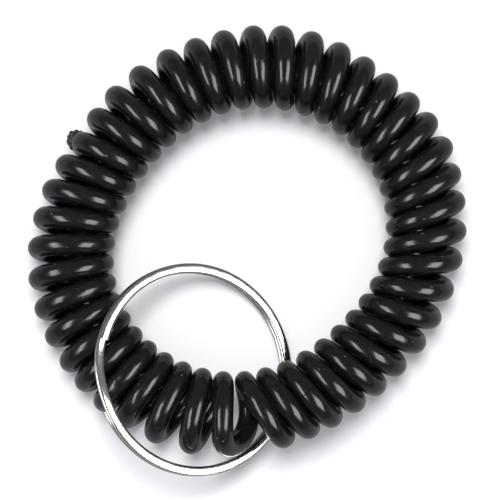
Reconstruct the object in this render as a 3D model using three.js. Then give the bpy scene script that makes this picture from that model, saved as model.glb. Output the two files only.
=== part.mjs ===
// Coiled wrist band with a split ring. Millimetres, +Z up, lying flat on z = 0.
// One springy strand is wound into a coil, the coil is bent round into a band, and a melted bead
// joins the strand's two ends. The split ring is threaded round the coil: its low side lies on the
// floor under the band and its high side lies over the band.
import * as THREE from 'three';
import { mergeVertices } from 'three/addons/utils/BufferGeometryUtils.js';

// ---- driving dimensions ----

// the strand and the coil it is wound into
const strandDiameter = 3.3;
const pressedWidth = 2.95; // the strand's width inside the band, where its turns press together
const coilDiameter = 12.4; // outside of the coil
const wristOpening = 39.5; // mean width of the hole that the wrist goes through
const turnGap = 0.18; // least gap between neighbouring turns, on the inside of the band
const linkCount = 22; // the band stretches between this many short lengths of the coil
const linkGap = 0.3; // between the strand's end faces at neighbouring links

// the band's outline is a circle with these waves: how many lobes, how high, and one crest's angle
const outlineWaves = [
  { lobes: 1, height: 0.45, crest: 45 },
  { lobes: 2, height: 1.41, crest: 38.3 },
  { lobes: 3, height: 0.14, crest: -12 },
  { lobes: 4, height: 0.19, crest: 8 },
];

// the turns lie closer where the band bends most: turns gained or lost there, and where it starts
const crowding = { turns: 0.13, share: 0.121 };

// what handling has left, at shares of the way round the band: how far the turns' outer ends are
// pushed on round it, and how much wider than tall the coil lies
const leanKeys = [
  [0, 0], [0.12, -0.2], [0.17, -0.7], [0.21, -1.9], [0.245, -2.9], [0.265, -2.8], [0.29, -1.9],
  [0.3174, -1.4], [0.3294, 3], [0.353, 2.5], [0.376, 1.8], [0.4, 1.1], [0.45, 0.9], [0.5, 1.6],
  [0.56, 2.2], [0.6, 1.85], [0.65, 1], [0.7, 0.3], [0.8, -0.1], [0.85, -0.8], [0.9, -1.4],
  [0.97, -0.4], [1, 0],
];
const girthKeys = [
  [0, -0.1], [0.05, 0.4], [0.1, 0.65], [0.2, 0.5], [0.24, 0.7], [0.3, 0.6], [0.35, -0.1],
  [0.48, -0.1], [0.55, -0.4], [0.6, -0.2], [0.65, 0.4], [0.72, -0.2], [0.8, 0.3], [0.87, -0.1],
  [0.95, 0.4], [1, -0.1],
];

// the melted bead, on the band's outside
const weldAngle = 150.6;
const beadLength = 2.6;
const beadDiameter = 3.8;
const beadGap = 0.2;

// the split ring: flat wire, two loops on each other
const ringDiameter = 32;
const wireWidth = 1.45; // across the ring's face
const wireThickness = 0.82; // along the ring's axis
const wireEdge = 0.22; // the wire's broken edges
const loopGap = 0.1; // between the two loops
const jogSweep = 24; // degrees over which the wire steps down from one loop to the other
const jogGap = 2.0; // degrees left free between the step and each cut end

// how the ring lies: all angles in degrees round +Z
const ringInset = 5.9; // its centre lies this far inside the middle of the coil
const ringAngle = 247.5; // where it goes round the band
const uphillAngle = 197; // the way its face climbs
const cutAngle = 164; // its cut end on the upper face
const ringClearance = 0.4; // from the ring to the top of the coil
const underClearance = 0.3; // from the ring to the underside of the coil
const riseFlat = 0.02; // the coil is level over the ring to each side, as a share of the way round
const riseFoot = 0.125; // and back on the floor this far from the ring

// ---- the band's outline and the strand ----

const degrees = Math.PI / 180;
const strandRadius = strandDiameter / 2;
const helixRadius = (coilDiameter - strandDiameter) / 2;
const up = new THREE.Vector3(0, 0, 1);

function flatDirection(angle) {
  return new THREE.Vector3(Math.cos(angle * degrees), Math.sin(angle * degrees), 0);
}

// a value that eases from each key to the next, by the share of the way round the band
function eased(keys, share) {
  const wrapped = ((share % 1) + 1) % 1;
  const next = keys.findIndex(([place]) => place > wrapped);
  const [startPlace, start] = keys[next - 1];
  const [endPlace, end] = keys[next];
  return THREE.MathUtils.lerp(start, end, THREE.MathUtils.smoothstep(wrapped, startPlace, endPlace));
}

// where the strand's middle runs on the inside of the band, seen from above
function innerRadius(angle) {
  const waves = outlineWaves.map((w) => w.height * Math.cos(w.lobes * (angle - w.crest) * degrees));
  return wristOpening / 2 + strandRadius + waves.reduce((sum, wave) => sum + wave, 0);
}

const outlineSteps = 180;
const railPoints = Array.from({ length: outlineSteps }, (_, i) => {
  const angle = weldAngle + (360 * i) / outlineSteps;
  return flatDirection(angle).multiplyScalar(innerRadius(angle));
});
// neighbouring turns lie against each other along this rail, so turns are counted along it
const innerRail = new THREE.CatmullRomCurve3(railPoints, true);
const turnCount = Math.floor(innerRail.getLength() / (pressedWidth + turnGap));

// the outline at a share of the way round from the bead: the coil's middle, the way outwards and
// how far the strand swings out from the middle and back
function bandAt(share) {
  const wrapped = ((share % 1) + 1) % 1;
  const inner = innerRail.getPointAt(wrapped);
  const outward = innerRail.getTangentAt(wrapped).cross(up).normalize();
  const swing = helixRadius + eased(girthKeys, share) / 2;
  const middle = inner.addScaledVector(outward, swing);
  return { middle, outward, swing };
}

// the share of the way round at which the coil's middle passes an angle
function shareAtAngle(angle) {
  const wanted = (((angle - weldAngle) % 360) + 360) % 360;
  let low = 0;
  let high = 1;
  for (let i = 0; i < 40; i += 1) {
    const share = (low + high) / 2;
    const { middle } = bandAt(share);
    const reached = Math.atan2(middle.y, middle.x) / degrees - weldAngle;
    if (((reached % 360) + 360) % 360 < wanted) {
      low = share;
    } else {
      high = share;
    }
  }
  return low;
}

// ---- the ring's place ----

const ringRadius = ringDiameter / 2;
const ringHeight = 2 * wireThickness + loopGap;
const innerWireRadius = ringRadius - wireWidth;
const coilRadius = coilDiameter / 2;
const ringCentre = bandAt(shareAtAngle(ringAngle)).middle.clone();
ringCentre.addScaledVector(flatDirection(ringAngle), -ringInset);

// the ring's wire at an angle round the ring, tilted, its low edge on the floor: the height of its
// upper and lower faces at its inner edge, and where it is over the coil's round section
function wireAt(angle, tilt) {
  const wire = ringCentre.clone().addScaledVector(flatDirection(angle), innerWireRadius);
  const climb = Math.cos((angle - uphillAngle) * degrees) * innerWireRadius;
  wire.addScaledVector(flatDirection(uphillAngle), climb * (Math.cos(tilt) - 1));
  const share = shareAtAngle(Math.atan2(wire.y, wire.x) / degrees);
  const { middle, swing } = bandAt(share);
  const aside = (Math.hypot(wire.x, wire.y) - middle.length()) / (swing + strandRadius);
  const halfCoil = coilRadius * Math.sqrt(Math.max(1 - aside ** 2, 0));
  const faceHeight = (ringHeight / 2) * Math.cos(tilt);
  const height = ringRadius * Math.sin(tilt) + faceHeight + climb * Math.sin(tilt);
  return { share, halfCoil, top: height + faceHeight, bottom: height - faceHeight };
}

// the angles of the half of the ring that is uphill, and of the half that goes under the coil
const uphillAngles = Array.from({ length: 90 }, (_, i) => uphillAngle - 90 + 2 * i);
const downhillAngles = uphillAngles.map((angle) => angle + 180);

// the ring is tilted until it clears the top of the coil
function clearOver(tilt) {
  const gaps = uphillAngles.map((angle) => {
    const { bottom, halfCoil } = wireAt(angle, tilt);
    return halfCoil > 0 ? bottom - coilRadius - halfCoil : coilDiameter;
  });
  return Math.min(...gaps);
}

function tiltToClear(gap) {
  let low = 0;
  let high = Math.PI / 3;
  for (let i = 0; i < 30; i += 1) {
    const tilt = (low + high) / 2;
    if (clearOver(tilt) < gap) {
      low = tilt;
    } else {
      high = tilt;
    }
  }
  return high;
}

const ringTilt = tiltToClear(ringClearance);
const ringMiddleHeight = ringRadius * Math.sin(ringTilt) + (ringHeight / 2) * Math.cos(ringTilt);
ringCentre.z = ringMiddleHeight;

// ---- the rise where the coil lies on the ring ----

// the coil is raised most where the middle of its round section is over the wire
const crossingShare = downhillAngles
  .map((angle) => wireAt(angle, ringTilt))
  .reduce((best, wire) => (wire.halfCoil > best.halfCoil ? wire : best)).share;

// the rise: 1 over the wire, 0 on the floor
function riseShape(share) {
  const away = Math.abs(((share - crossingShare + 1.5) % 1) - 0.5);
  return 1 - THREE.MathUtils.smoothstep(away, riseFlat, riseFoot);
}

// how high the rise has to be for the coil's underside to clear the wire at one angle of the ring
function riseNeededAt(angle) {
  const { share, halfCoil, top } = wireAt(angle, ringTilt);
  const shape = riseShape(share);
  return halfCoil > 0 && shape > 0 ? (top + underClearance + halfCoil - coilRadius) / shape : 0;
}

const riseHeight = Math.max(...downhillAngles.map(riseNeededAt));
const riseAt = (share) => riseHeight * riseShape(share);

// how many turns the strand has made
function turnsAt(share) {
  const crowd = (s) => Math.sin(4 * Math.PI * (s + crowding.share));
  return turnCount * share - crowding.turns * (crowd(share) - crowd(0));
}

// the strand winds outwards over the top of the coil and inwards underneath: its middle and the
// way out from the coil's middle
function strandAt(share) {
  const { middle, outward, swing } = bandAt(share);
  const winding = -2 * Math.PI * turnsAt(share);
  const lean = eased(leanKeys, share) * (0.5 + 0.5 * Math.cos(winding));
  const point = middle.addScaledVector(up.clone().cross(outward), lean);
  point.addScaledVector(outward, swing * Math.cos(winding));
  point.z = coilDiameter / 2 + riseAt(share) + helixRadius * Math.sin(winding);
  const wayOut = outward.multiplyScalar(Math.cos(winding)).addScaledVector(up, Math.sin(winding));
  return { point, wayOut, outerness: 0.5 + 0.5 * Math.cos(winding) };
}

// ---- shapes ----

// a flat bar's section with its edges broken: height along x, width along y
function barSection(height, width, edge) {
  const x = height / 2;
  const y = width / 2;
  const corners = [
    [-x, -y + edge], [-x + edge, -y], [x - edge, -y], [x, -y + edge],
    [x, y - edge], [x - edge, y], [-x + edge, y], [-x, y - edge],
  ];
  return new THREE.Shape(corners.map(([a, b]) => new THREE.Vector2(a, b)));
}

// a section drawn along a curve, closed at both ends
function sweep(section, curve, steps) {
  const swept = new THREE.ExtrudeGeometry(section, { steps, extrudePath: curve, bevelEnabled: false });
  swept.deleteAttribute('normal');
  swept.deleteAttribute('uv');
  const closed = mergeVertices(swept, 1e-4);
  closed.computeVertexNormals();
  return closed;
}

const strandSides = 6;
const stepsPerTurn = 16;
const strandLengthPerTurn = Math.hypot(
  2 * Math.PI * helixRadius,
  innerRail.getLength() / turnCount,
);
const shareOfLength = 1 / (strandLengthPerTurn * turnCount);

// the corners of the strand's section at a share: round outside the band, pressed narrower inside
function sectionAt(share) {
  const { point, wayOut, outerness } = strandAt(share);
  const ahead = strandAt(share + shareOfLength / 10).point;
  const along = ahead.sub(strandAt(share - shareOfLength / 10).point).normalize();
  const first = wayOut.addScaledVector(along, -wayOut.dot(along)).normalize();
  const second = along.cross(first);
  const halfWidth = THREE.MathUtils.lerp(pressedWidth, strandDiameter, outerness) / 2;
  return Array.from({ length: strandSides }, (_, i) => {
    const angle = (2 * Math.PI * i) / strandSides;
    const corner = point.clone().addScaledVector(first, strandRadius * Math.cos(angle));
    return corner.addScaledVector(second, halfWidth * Math.sin(angle));
  });
}

// one link: a length of the strand of about two turns, stopping short of the next link
function linkGeometry(index) {
  const first = index === 0;
  const last = index === linkCount - 1;
  const beadRoom = (beadLength / 2 + beadGap) * shareOfLength;
  const linkRoom = (linkGap / 2) * shareOfLength;
  const start = index / linkCount + (first ? beadRoom : linkRoom);
  const end = (index + 1) / linkCount - (last ? beadRoom : linkRoom);
  const steps = Math.ceil((turnCount / linkCount) * stepsPerTurn);
  const corners = [];
  const faces = [];
  for (let step = 0; step <= steps; step += 1) {
    corners.push(...sectionAt(THREE.MathUtils.lerp(start, end, step / steps)));
  }
  for (let step = 0; step < steps; step += 1) {
    for (let side = 0; side < strandSides; side += 1) {
      const low = step * strandSides;
      const high = low + strandSides;
      const beside = (side + 1) % strandSides;
      faces.push(low + side, low + beside, high + beside);
      faces.push(low + side, high + beside, high + side);
    }
  }
  const lastLow = steps * strandSides;
  for (let side = 1; side < strandSides - 1; side += 1) {
    faces.push(0, side + 1, side);
    faces.push(lastLow, lastLow + side, lastLow + side + 1);
  }
  const link = new THREE.BufferGeometry().setFromPoints(corners);
  link.setIndex(faces);
  link.computeVertexNormals();
  return link;
}

// the bead: a blunt lump across the joined ends, standing proud of the band's outside
function beadGeometry() {
  const lump = new THREE.SphereGeometry(beadDiameter / 2, 12, 9);
  const blunt = beadLength / beadDiameter;
  lump.scale(1, 1, blunt);
  lump.deleteAttribute('normal');
  lump.deleteAttribute('uv');
  const closed = mergeVertices(lump, 1e-4);
  closed.computeVertexNormals();
  return closed;
}

// the ring's wire: round on the upper loop, a step down past its own cut end, round on the lower loop
class RingWireCurve extends THREE.Curve {
  getPoint(t) {
    const loopSweep = 360 - jogSweep - jogGap;
    const travelled = t * (2 * loopSweep + jogSweep);
    const down = THREE.MathUtils.smoothstep(travelled, loopSweep, loopSweep + jogSweep);
    const level = (0.5 - down) * (wireThickness + loopGap);
    const angle = (cutAngle - travelled) * degrees;
    const radius = ringRadius - wireWidth / 2;
    return new THREE.Vector3(radius * Math.cos(angle), radius * Math.sin(angle), level);
  }
}

// ---- the parts ----

const blackPlastic = { color: 0x1a1a1b, roughness: 0.22, metalness: 0 };
const meltedPlastic = { color: 0x1d1d1e, roughness: 0.5, metalness: 0 };
const nickelPlate = { color: 0xd9d9d6, roughness: 0.12, metalness: 1 };

function part(name, geometry, look) {
  const mesh = new THREE.Mesh(geometry, new THREE.MeshStandardMaterial(look));
  mesh.name = name;
  return mesh;
}

const band = new THREE.Group();
for (let i = 0; i < linkCount; i += 1) {
  const number = String(i + 1).padStart(2, '0');
  band.add(part(`coil_link_${number}`, linkGeometry(i), blackPlastic));
}

const bead = part('weld_bead', beadGeometry(), meltedPlastic);
const beadShare = beadLength * shareOfLength;
const alongWeld = strandAt(beadShare).point.sub(strandAt(-beadShare).point).normalize();
bead.position.copy(strandAt(0).point);
bead.quaternion.setFromUnitVectors(up, alongWeld);
band.add(bead);

const ringWire = sweep(barSection(wireThickness, wireWidth, wireEdge), new RingWireCurve(), 112);
const ring = part('split_ring', ringWire, nickelPlate);
ring.position.copy(ringCentre);
// tilt about the level line across the climb, so that the uphill side rises
ring.quaternion.setFromAxisAngle(flatDirection(uphillAngle - 90), ringTilt);
band.add(ring);

// stand the whole part over its own middle
const whole = new THREE.Group();
whole.add(band);
whole.updateMatrixWorld(true);
const box = new THREE.Box3().setFromObject(band, true);
band.position.set(-(box.min.x + box.max.x) / 2, -(box.min.y + box.max.y) / 2, -box.min.z);

export default whole;
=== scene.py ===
import math

import bpy
import numpy as np
from mathutils import Matrix, Vector


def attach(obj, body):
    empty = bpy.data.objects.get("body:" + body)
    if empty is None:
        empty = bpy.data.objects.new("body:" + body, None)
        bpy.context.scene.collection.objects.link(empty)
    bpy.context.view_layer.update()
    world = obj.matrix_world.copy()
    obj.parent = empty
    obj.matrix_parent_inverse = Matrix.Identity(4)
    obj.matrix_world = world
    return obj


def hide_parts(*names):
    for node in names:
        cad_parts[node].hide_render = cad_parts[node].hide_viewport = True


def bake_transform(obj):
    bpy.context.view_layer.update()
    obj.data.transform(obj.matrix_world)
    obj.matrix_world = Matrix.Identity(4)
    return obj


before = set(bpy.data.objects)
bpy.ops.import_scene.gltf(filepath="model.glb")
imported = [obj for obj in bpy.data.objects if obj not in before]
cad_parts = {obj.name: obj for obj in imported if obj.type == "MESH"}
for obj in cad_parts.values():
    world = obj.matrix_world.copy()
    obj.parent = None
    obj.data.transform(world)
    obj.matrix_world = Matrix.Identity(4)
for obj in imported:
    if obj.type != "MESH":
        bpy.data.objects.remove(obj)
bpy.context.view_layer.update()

MM = 0.001

# ---- sizes in millimetres and degrees, the same as the CAD part's unless a comment says not ----

STRAND_RADIUS = 1.65
PRESSED_WIDTH = 2.95  # the strand's width inside the band, where its turns press together
COIL_DIAMETER = 12.4
HELIX_RADIUS = (COIL_DIAMETER - 2 * STRAND_RADIUS) / 2
WRIST_OPENING = 39.5
TURN_COUNT = 43
LINK_COUNT = 22
OUTLINE_WAVES = (  # lobes, height, crest
    (1, 0.45, 45.0), (2, 1.41, 38.3), (3, 0.14, -12.0), (4, 0.19, 8.0),
)
CROWDED_TURNS = 0.13
CROWDING_SHARE = 0.121
# how far the turns' outer ends are pushed on round the band, and how much wider than tall the
# coil lies, at shares of the way round
LEAN_KEYS = (
    (0, 0), (0.12, -0.2), (0.17, -0.7), (0.21, -1.9), (0.245, -2.9), (0.265, -2.8), (0.29, -1.9),
    (0.3174, -1.4), (0.3294, 3), (0.353, 2.5), (0.376, 1.8), (0.4, 1.1), (0.45, 0.9), (0.5, 1.6),
    (0.56, 2.2), (0.6, 1.85), (0.65, 1), (0.7, 0.3), (0.8, -0.1), (0.85, -0.8), (0.9, -1.4),
    (0.97, -0.4), (1, 0),
)
GIRTH_KEYS = (
    (0, -0.1), (0.05, 0.4), (0.1, 0.65), (0.2, 0.5), (0.24, 0.7), (0.3, 0.6), (0.35, -0.1),
    (0.48, -0.1), (0.55, -0.4), (0.6, -0.2), (0.65, 0.4), (0.72, -0.2), (0.8, 0.3), (0.87, -0.1),
    (0.95, 0.4), (1, -0.1),
)
WELD_ANGLE = 150.6
RISE_HEIGHT = 4.3084
RISE_SHARE = 0.3596
RISE_FLAT = 0.02
RISE_FOOT = 0.125
BAND_PLACE = (-0.0028, 1.2281, -0.0002)  # the band's own middle in the part's frame

RING_RADIUS = 16.0
WIRE_WIDTH = 1.45
WIRE_THICKNESS = 0.82
WIRE_CROWN = 2.7  # 2 would be an ellipse, and a very large number a sharp bar
LOOP_GAP = 0.1
JOG_SWEEP = 36.0  # the CAD wire steps down in 24, with broken edges in place of the crown
JOG_GAP = 2.0
CUT_ANGLE = 164.0
UPHILL_ANGLE = 197.0
RING_TILT = 26.433
RING_CENTRE = (-7.9191, -17.8835, 7.9012)


# ---- materials ----


def linear(hex_colour):
    """An sRGB hex colour as Blender's linear red, green, blue and alpha."""
    channels = [int(hex_colour[i : i + 2], 16) / 255 for i in (1, 3, 5)]
    straight = [c / 12.92 if c <= 0.04045 else ((c + 0.055) / 1.055) ** 2.4 for c in channels]
    return (*straight, 1.0)


def add_node(tree, kind, links=None, **settings):
    """A node with its settings and its links. A setting whose name is a socket's sets that socket;
    a link is socket name or number: the output that feeds it."""
    node = tree.nodes.new(kind)
    for name, value in settings.items():
        if hasattr(node, name):
            setattr(node, name, value)
        else:
            node.inputs[name.replace("_", " ")].default_value = value
    for socket, source in (links or {}).items():
        tree.links.new(source, node.inputs[socket])
    return node


def new_material(name):
    """An empty node material with its tree and its shader."""
    material = bpy.data.materials.new(name)
    material.use_nodes = True
    tree = material.node_tree
    return material, tree, tree.nodes["Principled BSDF"]


def set_sockets(shader, **values):
    for name, value in values.items():
        shader.inputs[name.replace("_", " ")].default_value = value


def extruded_polyurethane():
    """Black polyurethane, extruded and wound hot: a wet-looking gloss that the die has drawn out
    in faint lines along the strand, with soft waves, a few dull rubs and specks of dust. Its index
    is set below the plastic's own 1.5, so that the strand's edges stay dark."""
    material, tree, shader = new_material("polyurethane_extruded_black")
    set_sockets(shader, IOR=1.36)
    along = add_node(tree, "ShaderNodeAttribute", attribute_name="along_mm").outputs["Fac"]
    round_x = add_node(tree, "ShaderNodeAttribute", attribute_name="round_x").outputs["Fac"]
    round_y = add_node(tree, "ShaderNodeAttribute", attribute_name="round_y").outputs["Fac"]
    # one unit of this space is one millimetre, and z runs along the strand
    skin = add_node(
        tree, "ShaderNodeCombineXYZ", {"X": round_x, "Y": round_y, "Z": along}
    ).outputs[0]
    # die lines: 0.25 mm apart round the strand, 10 mm long
    drawn = add_node(
        tree, "ShaderNodeMapping", {"Vector": skin}, Scale=(4.0, 4.0, 0.1)
    ).outputs[0]
    die_lines = add_node(
        tree, "ShaderNodeTexNoise", {"Vector": drawn}, Scale=1.0, Detail=3.0, Roughness=0.6
    ).outputs["Fac"]
    # waves: 2 mm long, where the strand cooled against its neighbours
    waves = add_node(
        tree, "ShaderNodeTexNoise", {"Vector": skin}, Scale=0.5, Detail=2.0, Roughness=0.5
    ).outputs["Fac"]
    # rubs: 1 mm patches that handling has dulled
    rubs = add_node(
        tree, "ShaderNodeTexNoise", {"Vector": skin}, Scale=1.1, Detail=5.0, Roughness=0.7
    ).outputs["Fac"]
    # dust: specks of about 0.15 mm, one to every few square millimetres
    specks = add_node(
        tree, "ShaderNodeTexVoronoi", {"Vector": skin}, Scale=0.55, Randomness=1.0
    ).outputs["Distance"]
    dust = add_node(
        tree, "ShaderNodeMapRange", {"Value": specks},
        From_Min=0.035, From_Max=0.075, To_Min=1.0, To_Max=0.0,
    ).outputs[0]
    gloss = add_node(
        tree, "ShaderNodeMapRange", {"Value": rubs},
        From_Min=0.42, From_Max=0.72, To_Min=0.17, To_Max=0.28,
    ).outputs[0]
    dulled = add_node(
        tree, "ShaderNodeMath", {0: dust, 2: gloss}, operation="MULTIPLY_ADD"
    )
    dulled.inputs[1].default_value = 0.35
    tree.links.new(dulled.outputs[0], shader.inputs["Roughness"])
    shade = add_node(
        tree, "ShaderNodeMapRange", {"Value": rubs},
        From_Min=0.35, From_Max=0.75, To_Min=0.0, To_Max=1.0,
    ).outputs[0]
    black = add_node(tree, "ShaderNodeMix", {"Factor": shade}, data_type="RGBA")
    black.inputs[6].default_value = linear("#111112")
    black.inputs[7].default_value = linear("#1b1b1c")
    dusty = add_node(
        tree, "ShaderNodeMix", {"Factor": dust, 6: black.outputs[2]}, data_type="RGBA"
    )
    dusty.inputs[7].default_value = linear("#6a6a68")
    tree.links.new(dusty.outputs[2], shader.inputs["Base Color"])
    lines = add_node(
        tree, "ShaderNodeBump", {"Height": die_lines}, Strength=0.10, Distance=0.02 * MM
    ).outputs[0]
    bump = add_node(
        tree, "ShaderNodeBump", {"Height": waves, "Normal": lines},
        Strength=0.5, Distance=0.05 * MM,
    ).outputs[0]
    tree.links.new(bump, shader.inputs["Normal"])
    return material


def melted_polyurethane():
    """The same black polyurethane, melted with a hot blade and set again: duller, pitted and
    crusted, so it breaks every reflection into small lights."""
    material, tree, shader = new_material("polyurethane_melted_black")
    set_sockets(shader, IOR=1.5)
    place = add_node(tree, "ShaderNodeTexCoord").outputs["Object"]
    # pits and crusts: 0.35 mm across
    crust = add_node(
        tree, "ShaderNodeTexNoise", {"Vector": place}, Scale=2800.0, Detail=4.0, Roughness=0.65
    ).outputs["Fac"]
    dull = add_node(
        tree, "ShaderNodeMapRange", {"Value": crust},
        From_Min=0.35, From_Max=0.65, To_Min=0.22, To_Max=0.6,
    ).outputs[0]
    tree.links.new(dull, shader.inputs["Roughness"])
    tint = add_node(tree, "ShaderNodeMix", {"Factor": crust}, data_type="RGBA")
    tint.inputs[6].default_value = linear("#0e0e0f")
    tint.inputs[7].default_value = linear("#2c2b2a")
    tree.links.new(tint.outputs[2], shader.inputs["Base Color"])
    bump = add_node(
        tree, "ShaderNodeBump", {"Height": crust}, Strength=0.9, Distance=0.15 * MM
    ).outputs[0]
    tree.links.new(bump, shader.inputs["Normal"])
    return material


def plated_nickel():
    """Nickel plate over drawn spring steel: a bright, slightly warm mirror that is stretched along
    the wire by the drawing marks, with hairline scratches from rubbing."""
    material, tree, shader = new_material("nickel_plated_spring_steel")
    set_sockets(shader, Metallic=1.0)
    along = add_node(tree, "ShaderNodeAttribute", attribute_name="along_mm").outputs["Fac"]
    round_x = add_node(tree, "ShaderNodeAttribute", attribute_name="round_x").outputs["Fac"]
    round_y = add_node(tree, "ShaderNodeAttribute", attribute_name="round_y").outputs["Fac"]
    skin = add_node(
        tree, "ShaderNodeCombineXYZ", {"X": round_x, "Y": round_y, "Z": along}
    ).outputs[0]
    # drawing marks: 0.15 mm apart across the wire, 12 mm long
    drawn = add_node(
        tree, "ShaderNodeMapping", {"Vector": skin}, Scale=(6.5, 6.5, 0.08)
    ).outputs[0]
    marks = add_node(
        tree, "ShaderNodeTexNoise", {"Vector": drawn}, Scale=1.0, Detail=4.0, Roughness=0.65
    ).outputs["Fac"]
    # wear: 2 mm patches where the two loops and keys have rubbed
    wear = add_node(
        tree, "ShaderNodeTexNoise", {"Vector": skin}, Scale=0.5, Detail=6.0, Roughness=0.7
    ).outputs["Fac"]
    rough = add_node(
        tree, "ShaderNodeMapRange", {"Value": wear},
        From_Min=0.4, From_Max=0.7, To_Min=0.13, To_Max=0.26,
    ).outputs[0]
    tree.links.new(rough, shader.inputs["Roughness"])
    tint = add_node(tree, "ShaderNodeMix", {"Factor": wear}, data_type="RGBA")
    tint.inputs[6].default_value = linear("#d6d4d0")
    tint.inputs[7].default_value = linear("#bcb9b2")
    tree.links.new(tint.outputs[2], shader.inputs["Base Color"])
    bump = add_node(
        tree, "ShaderNodeBump", {"Height": marks}, Strength=0.35, Distance=0.02 * MM
    ).outputs[0]
    tree.links.new(bump, shader.inputs["Normal"])
    return material


def white_table():
    """Matt white acrylic sheet, cast: an even white that takes soft shadows. Where it shows in a
    gloss
    it is painted greyer: painted shade on its reflections."""
    material, tree, shader = new_material("acrylic_cast_white")
    set_sockets(shader, Roughness=0.7, Specular_IOR_Level=0.2)
    mirrored = add_node(tree, "ShaderNodeLightPath").outputs["Is Glossy Ray"]
    # painted shade: glossy rays see the table grey rather than white, which darkens its reflections
    white_painted_grey_in_gloss = add_node(tree, "ShaderNodeMix", {"Factor": mirrored}, data_type="RGBA")
    white_painted_grey_in_gloss.inputs[6].default_value = linear("#f4f4f5")
    white_painted_grey_in_gloss.inputs[7].default_value = linear("#b0b1b4")
    tree.links.new(white_painted_grey_in_gloss.outputs[2], shader.inputs["Base Color"])
    return material


# ---- the band's outline ----


def smoothstep(value, low, high):
    t = np.clip((value - low) / (high - low), 0.0, 1.0)
    return t * t * (3 - 2 * t)


# the inner rail as finely spaced points, with how far round it each of them is
RAIL_ANGLES = np.radians(WELD_ANGLE + np.linspace(0.0, 360.0, 7201))
RAIL_RADII = WRIST_OPENING / 2 + STRAND_RADIUS + sum(
    height * np.cos(lobes * (RAIL_ANGLES - math.radians(crest)))
    for lobes, height, crest in OUTLINE_WAVES
)
RAIL = np.stack([RAIL_RADII * np.cos(RAIL_ANGLES), RAIL_RADII * np.sin(RAIL_ANGLES)], axis=1)
RAIL_STEPS = np.hypot(*np.diff(RAIL, axis=0).T)
RAIL_SHARES = np.concatenate([[0.0], np.cumsum(RAIL_STEPS)]) / RAIL_STEPS.sum()


def eased(keys, share):
    """A value that eases from each key to the next, by the share of the way round."""
    wrapped = np.mod(share, 1.0)
    value = np.zeros_like(wrapped)
    for (start, start_value), (end, end_value) in zip(keys, keys[1:]):
        between = (wrapped >= start) & (wrapped <= end)
        step = start_value + (end_value - start_value) * smoothstep(wrapped, start, end)
        value = np.where(between, step, value)
    return value


def band_at(share):
    """The coil's middle, the way outwards and how far the strand swings to each side of the middle,
    at shares of the way round from the bead."""
    wrapped = np.mod(share, 1.0)
    inner = np.stack([np.interp(wrapped, RAIL_SHARES, RAIL[:, k]) for k in (0, 1)], axis=1)
    step = 1e-4
    ahead = np.mod(share + step, 1.0)
    behind = np.mod(share - step, 1.0)
    tangent = np.stack(
        [
            np.interp(ahead, RAIL_SHARES, RAIL[:, k]) - np.interp(behind, RAIL_SHARES, RAIL[:, k])
            for k in (0, 1)
        ],
        axis=1,
    )
    tangent /= np.linalg.norm(tangent, axis=1, keepdims=True)
    outward = np.stack([tangent[:, 1], -tangent[:, 0]], axis=1)
    swing = HELIX_RADIUS + eased(GIRTH_KEYS, share) / 2
    return inner + swing[:, None] * outward, outward, swing


def turns_at(share):
    crowd = np.sin(4 * math.pi * (share + CROWDING_SHARE))
    return TURN_COUNT * share - CROWDED_TURNS * (crowd - math.sin(4 * math.pi * CROWDING_SHARE))


def rise_at(share):
    away = np.abs(np.mod(share - RISE_SHARE + 0.5, 1.0) - 0.5)
    return RISE_HEIGHT * (1 - smoothstep(away, RISE_FLAT, RISE_FOOT))


def strand_at(share):
    """The strand's middle line in the part's frame, in millimetres, the way out of the coil, and
    how far on the band's outside it is, from 0 to 1."""
    middle, outward, swing = band_at(share)
    winding = -2 * math.pi * turns_at(share)
    onward = np.stack([-outward[:, 1], outward[:, 0]], axis=1)
    outerness = 0.5 + 0.5 * np.cos(winding)
    lean = eased(LEAN_KEYS, share) * outerness
    flat = middle + onward * lean[:, None] + outward * (swing * np.cos(winding))[:, None]
    height = COIL_DIAMETER / 2 + rise_at(share) + HELIX_RADIUS * np.sin(winding)
    line = np.column_stack([flat, height]) + np.array(BAND_PLACE)
    out = np.column_stack([outward * np.cos(winding)[:, None], np.sin(winding)])
    return line, out, outerness


# ---- meshes ----


def unit(vectors):
    return vectors / np.linalg.norm(vectors, axis=1, keepdims=True)


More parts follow.
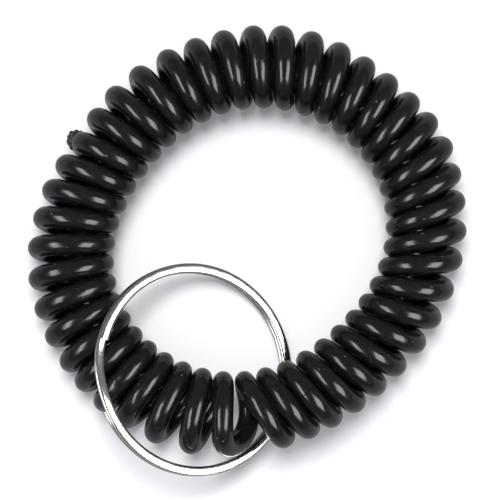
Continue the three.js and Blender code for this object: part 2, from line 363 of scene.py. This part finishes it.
def swept_mesh(name, line, across, along, section, section_normals, widths):
    """A closed mesh: a section carried along a line. The section's first axis points along across,
    and its second is square to that and to the line, and is scaled by widths along the line. It
    keeps the place of each of its points on the piece's skin, in millimetres, for the materials."""
    sides = len(section)
    tangent = unit(np.gradient(line, axis=0))
    first = unit(across - tangent * (across * tangent).sum(axis=1, keepdims=True))
    second = np.cross(tangent, first)
    a = section[None, :, 0, None]
    b = section[None, :, 1, None] * widths[:, None, None]
    points = line[:, None, :] + first[:, None, :] * a + second[:, None, :] * b
    na = section_normals[None, :, 0, None]
    nb = section_normals[None, :, 1, None] / widths[:, None, None]
    normals = first[:, None, :] * na + second[:, None, :] * nb
    rings = len(line)
    faces = []
    for ring in range(rings - 1):
        low = ring * sides
        for side in range(sides):
            beside = (side + 1) % sides
            faces.append((low + side, low + beside, low + sides + beside, low + sides + side))
    faces.append(tuple(range(sides - 1, -1, -1)))
    faces.append(tuple((rings - 1) * sides + side for side in range(sides)))
    mesh = bpy.data.meshes.new(name)
    mesh.from_pydata((points.reshape(-1, 3) * MM).tolist(), [], faces)
    mesh.polygons.foreach_set("use_smooth", [True] * (len(faces) - 2) + [False] * 2)
    smooth = unit(normals.reshape(-1, 3))
    corner_points = np.zeros(len(mesh.loops), int)
    mesh.loops.foreach_get("vertex_index", corner_points)
    corner_normals = smooth[corner_points]
    caps = 2 * sides
    corner_normals[-caps:-sides] = -tangent[0]
    corner_normals[-sides:] = tangent[-1]
    mesh.normals_split_custom_set(corner_normals.tolist())
    skin = {
        "along_mm": np.repeat(along, sides),
        "round_x": np.tile(section[:, 0], rings),
        "round_y": np.tile(section[:, 1], rings),
    }
    for key, values in skin.items():
        layer = mesh.attributes.new(key, "FLOAT", "POINT")
        layer.data.foreach_set("value", values.astype(np.float32))
    piece = bpy.data.objects.new(name, mesh)
    bpy.context.scene.collection.objects.link(piece)
    return piece


# ---- the strand, cut at the links' middles into lengths ----

STRAND_SIDES = 28
STEPS_PER_TURN = 72
PRESSED = PRESSED_WIDTH / (2 * STRAND_RADIUS)
strand_material = extruded_polyurethane()

section_angles = np.linspace(0, 2 * math.pi, STRAND_SIDES, endpoint=False)
round_normals = np.column_stack([np.cos(section_angles), np.sin(section_angles)])
anchor_shares = np.array([0.0, *((i + 0.5) / LINK_COUNT for i in range(1, LINK_COUNT - 1)), 1.0])
anchor_middles = band_at(anchor_shares)[0]
anchors = np.column_stack([anchor_middles, np.full(LINK_COUNT, COIL_DIAMETER / 2)])
anchors = (anchors + np.array(BAND_PLACE)) * MM
strand_length = 0.0

for i in range(LINK_COUNT - 1):
    start_share, end_share = anchor_shares[i], anchor_shares[i + 1]
    turns = TURN_COUNT * (end_share - start_share)
    shares = np.linspace(start_share, end_share, math.ceil(turns * STEPS_PER_TURN) + 1)
    line, out, outerness = strand_at(shares)
    lengths = np.concatenate([[0.0], np.cumsum(np.linalg.norm(np.diff(line, axis=0), axis=1))])
    length = swept_mesh(
        f"strand_{i + 1:02d}", line, out, strand_length + lengths,
        round_normals * STRAND_RADIUS, round_normals, PRESSED + (1 - PRESSED) * outerness,
    )
    strand_length += lengths[-1]
    length.data.materials.append(strand_material)
    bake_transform(length)
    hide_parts(f"coil_link_{i + 1:02d}")
    if i == LINK_COUNT - 2:
        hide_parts(f"coil_link_{LINK_COUNT:02d}")


# ---- the melted bead ----

BEAD_RADIUS = 1.6
BEAD_HALF_LENGTH = 0.95
bead_rows, bead_columns = 40, 56


def bead_noise(points, scale, seed):
    """Smooth noise from sums of seeded waves, for the bead's lumps."""
    rng = np.random.default_rng(seed)
    total = np.zeros(len(points))
    for _ in range(14):
        direction = rng.normal(size=3)
        direction /= np.linalg.norm(direction)
        total += np.sin(points @ direction * scale + rng.uniform(0, 2 * math.pi))
    return total / 14


weld_line, weld_out, _ = strand_at(np.array([-0.0015, 0.0, 0.0015]))
weld_middle = weld_line[1]
weld_along = unit((weld_line[2] - weld_line[0])[None])[0]
weld_outward = unit((weld_out[1] - weld_along * (weld_out[1] @ weld_along))[None])[0]
weld_side = np.cross(weld_along, weld_outward)

rows = np.linspace(0, math.pi, bead_rows + 1)[1:-1]
columns = np.linspace(0, 2 * math.pi, bead_columns, endpoint=False)
ball = [(math.cos(r), math.sin(r) * math.cos(c), math.sin(r) * math.sin(c))
        for r in rows for c in columns]
ball = np.array([(1.0, 0.0, 0.0), *ball, (-1.0, 0.0, 0.0)])
# a squashed lump with a thick middle where the two ends were pushed together
along_bead = ball[:, 0]
girth = np.abs(along_bead) ** 3
shape = np.column_stack([
    BEAD_HALF_LENGTH * along_bead,
    BEAD_RADIUS * ball[:, 1] * (1 + 0.10 * (1 - girth)) + 0.5 * (1 - along_bead**2),
    BEAD_RADIUS * ball[:, 2] * (1 - 0.05 * girth),
])
lumps = 0.30 * bead_noise(ball, 5.0, 3) + 0.34 * bead_noise(ball, 12.0, 5)
pits = -0.6 * np.clip(bead_noise(ball, 20.0, 9) - 0.05, 0, 1)
shape += ball * (lumps + pits)[:, None] * 1.3
bead_points = (
    weld_middle + shape[:, :1] * weld_along + shape[:, 1:2] * weld_outward
    + shape[:, 2:] * weld_side
)
last = len(ball) - 1
bead_faces = []
for c in range(bead_columns):
    d = (c + 1) % bead_columns
    bead_faces.append((0, 1 + c, 1 + d))
    for r in range(bead_rows - 2):
        low = 1 + r * bead_columns
        bead_faces.append(
            (low + c, low + bead_columns + c, low + bead_columns + d, low + d)
        )
    low = 1 + (bead_rows - 2) * bead_columns
    bead_faces.append((last, low + d, low + c))
bead_mesh = bpy.data.meshes.new("melted_bead")
bead_mesh.from_pydata((bead_points * MM).tolist(), [], bead_faces)
bead_mesh.polygons.foreach_set("use_smooth", [True] * len(bead_faces))
bead_mesh.materials.append(melted_polyurethane())
bead = bpy.data.objects.new("melted_bead", bead_mesh)
bpy.context.scene.collection.objects.link(bead)
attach(bead, "link_01")
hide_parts("weld_bead")


# ---- the split ring ----

def crowned_bar(width, height, power, sides):
    """A rolled bar's section, crowned on all its faces, and the way out at each of its points."""
    angles = np.linspace(0, 2 * math.pi, sides, endpoint=False)
    across = np.sign(np.cos(angles)) * np.abs(np.cos(angles)) ** (2 / power)
    upward = np.sign(np.sin(angles)) * np.abs(np.sin(angles)) ** (2 / power)
    points = np.column_stack([across * width / 2, upward * height / 2])
    outs = np.column_stack([
        np.sign(across) * np.abs(across) ** (power - 1) / width,
        np.sign(upward) * np.abs(upward) ** (power - 1) / height,
    ])
    return points, unit(outs)


loop_sweep = 360 - JOG_SWEEP - JOG_GAP
travelled = np.linspace(0, 2 * loop_sweep + JOG_SWEEP, 640)
down = smoothstep(travelled, loop_sweep, loop_sweep + JOG_SWEEP)
wire_angles = np.radians(CUT_ANGLE - travelled)
wire_radius = RING_RADIUS - WIRE_WIDTH / 2
wire_line = np.column_stack([
    wire_radius * np.cos(wire_angles),
    wire_radius * np.sin(wire_angles),
    (0.5 - down) * (WIRE_THICKNESS + LOOP_GAP),
])
wire_out = np.column_stack([np.cos(wire_angles), np.sin(wire_angles), np.zeros(len(travelled))])
bar, bar_outs = crowned_bar(WIRE_WIDTH, WIRE_THICKNESS, WIRE_CROWN, 40)
ring = swept_mesh(
    "split_ring_wire", wire_line, wire_out,
    np.radians(travelled) * wire_radius, bar, bar_outs, np.ones(len(travelled)),
)
ring.data.materials.append(plated_nickel())
tilt_axis = Vector(
    (math.cos(math.radians(UPHILL_ANGLE - 90)), math.sin(math.radians(UPHILL_ANGLE - 90)), 0)
)
tilt = Matrix.Rotation(math.radians(RING_TILT), 4, tilt_axis)
ring.data.transform(Matrix.Translation(Vector(RING_CENTRE) * MM) @ tilt)
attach(ring, "ring")
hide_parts("split_ring")


# ---- table, light and camera ----


def table_top():
    bpy.ops.mesh.primitive_plane_add(size=6.0, location=(0, 0, 0))
    table = bpy.context.object
    table.name = "table_top"
    table.data.materials.append(white_table())


def softbox(name, azimuth, from_zenith, distance, width, height, radiance):
    """A rectangular studio light that faces the object. Radiance is what its face shows."""
    lamp = bpy.data.lights.new(name, "AREA")
    lamp.shape = "RECTANGLE"
    lamp.size = width
    lamp.size_y = height
    lamp.energy = radiance * math.pi * width * height
    box = bpy.data.objects.new(name, lamp)
    a, z = math.radians(azimuth), math.radians(from_zenith)
    way = Vector((math.sin(z) * math.cos(a), math.sin(z) * math.sin(a), math.cos(z)))
    box.location = way * distance
    box.rotation_euler = way.to_track_quat("Z", "Y").to_euler()
    box.visible_diffuse = False
    bpy.context.scene.collection.objects.link(box)


def overhead_lamp(azimuth, from_zenith, spread, strength):
    """The broad ceiling light: it lights the whole table evenly and draws the shadows."""
    lamp = bpy.data.lights.new("ceiling_light", "SUN")
    lamp.angle = math.radians(spread)
    lamp.energy = strength
    box = bpy.data.objects.new("ceiling_light", lamp)
    a, z = math.radians(azimuth), math.radians(from_zenith)
    way = Vector((math.sin(z) * math.cos(a), math.sin(z) * math.sin(a), math.cos(z)))
    box.location = way
    box.rotation_euler = way.to_track_quat("Z", "Y").to_euler()
    box.visible_glossy = False
    bpy.context.scene.collection.objects.link(box)


table_top()
softbox("softbox_left", 192, 43.5, 0.75, 0.66, 0.28, 12.5)
softbox("softbox_right", -15, 41.5, 0.75, 0.66, 0.42, 12.5)
overhead_lamp(98, 17, 22, 2.55)

world = bpy.data.worlds.new("studio")
bpy.context.scene.world = world
world.use_nodes = True
# the room fills the shadows with a cool light, and what shows in a gloss is its dark ceiling
room = world.node_tree
fill = room.nodes["Background"]
set_sockets(fill, Color=linear("#eef1f6"), Strength=0.62)
ceiling = add_node(room, "ShaderNodeBackground", Color=linear("#8a8c90"), Strength=0.8)
mirrored = add_node(room, "ShaderNodeLightPath").outputs["Is Glossy Ray"]
both = add_node(room, "ShaderNodeMixShader", {0: mirrored, 1: fill.outputs[0], 2: ceiling.outputs[0]})
room.links.new(both.outputs[0], room.nodes["World Output"].inputs["Surface"])

CAMERA_HEIGHT = 0.450
CAMERA_LENS = 212.328  # millimetres, on a sensor 36 mm wide
camera_data = bpy.data.cameras.new("camera")
camera_data.sensor_width = 36.0
camera_data.lens = CAMERA_LENS
camera_data.clip_start = 0.01
camera_data.clip_end = 20.0
camera = bpy.data.objects.new("camera", camera_data)
camera.location = (0.000456, 0.000030, CAMERA_HEIGHT)
bpy.context.scene.collection.objects.link(camera)
bpy.context.scene.camera = camera
bpy.context.scene.view_settings.view_transform = "Standard"
